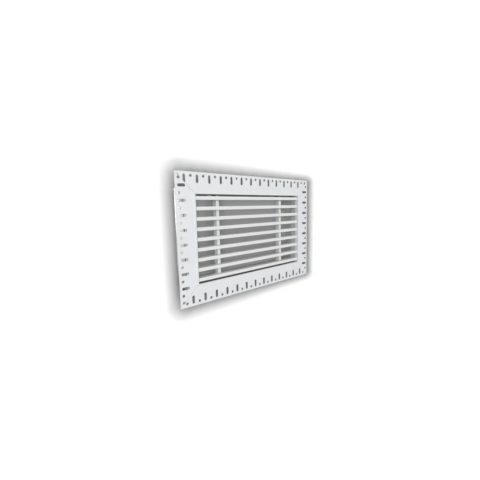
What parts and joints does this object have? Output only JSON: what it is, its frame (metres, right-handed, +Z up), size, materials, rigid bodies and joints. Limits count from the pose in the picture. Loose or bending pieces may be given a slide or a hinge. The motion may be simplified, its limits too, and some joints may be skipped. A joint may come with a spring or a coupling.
{
  "type": "louvred air grille",
  "caption": "Plaster-in linear bar grille: mitred frame with a punched flange, fixed level bars on mullions in a pull-out core, and a gasketed collar behind for the duct.",
  "frame": {"origin": "centre of the opening, in the plane of the wall that the back of the flange lies on", "axes": "+X to the right and +Z up as seen from the room, which the grille faces along -Y; +Y goes into the duct"},
  "size_m": [0.353, 0.0535, 0.232],
  "materials": {
    "frame_coat": "white powder coat, fine satin texture",
    "bar_coat": "white powder coat, fine satin texture",
    "mullion_coat": "white powder coat, satin",
    "end_plate_coat": "thin white powder coat, satin",
    "collar_mill": "mill finish with faint extrusion lines",
    "foam": "black closed-cell foam",
    "cleat_cast": "as cast",
    "lug_mill": "mill finish",
    "spring_steel": "tempered strip, satin",
    "zinc_steel": "bright zinc plate",
    "pin_steel": "bright zinc plate",
    "rivet_metal": "bright drawn rivet"
  },
  "bodies": {
    "frame": {"frame_top": "frame_coat", "frame_bottom": "frame_coat", "frame_left": "frame_coat", "frame_right": "frame_coat", "gasket_top": "foam", "gasket_bottom": "foam", "gasket_left": "foam", "gasket_right": "foam", "collar_top": "collar_mill", "collar_bottom": "collar_mill", "collar_left": "collar_mill", "collar_right": "collar_mill", "front_cleat_top_left": "cleat_cast", "front_cleat_top_right": "cleat_cast", "front_cleat_bottom_left": "cleat_cast", "front_cleat_bottom_right": "cleat_cast", "rear_cleat_top_left": "cleat_cast", "rear_cleat_top_right": "cleat_cast", "rear_cleat_bottom_left": "cleat_cast", "rear_cleat_bottom_right": "cleat_cast", "stop_lug_top_left": "lug_mill", "stop_lug_top_right": "lug_mill", "stop_lug_bottom_left": "lug_mill", "stop_lug_bottom_right": "lug_mill", "collar_screws": "zinc_steel", "lug_rivets": "rivet_metal"},
    "core": {"bar_1": "bar_coat", "bar_2": "bar_coat", "bar_3": "bar_coat", "bar_4": "bar_coat", "bar_5": "bar_coat", "bar_6": "bar_coat", "bar_7": "bar_coat", "bar_8": "bar_coat", "bar_9": "bar_coat", "end_plate_left": "end_plate_coat", "end_plate_right": "end_plate_coat", "mullion_left": "mullion_coat", "mullion_right": "mullion_coat", "bar_pins_left": "pin_steel", "bar_pins_right": "pin_steel", "spring_clip_top_left": "spring_steel", "spring_clip_top_right": "spring_steel", "spring_clip_bottom_left": "spring_steel", "spring_clip_bottom_right": "spring_steel", "clip_rivets": "rivet_metal"}
  },
  "joints": [
    {"name": "core_slide", "type": "slide", "parent": "frame", "child": "core", "axis": [0, -1, 0], "range_m": [0, 0.04]}
  ]
}
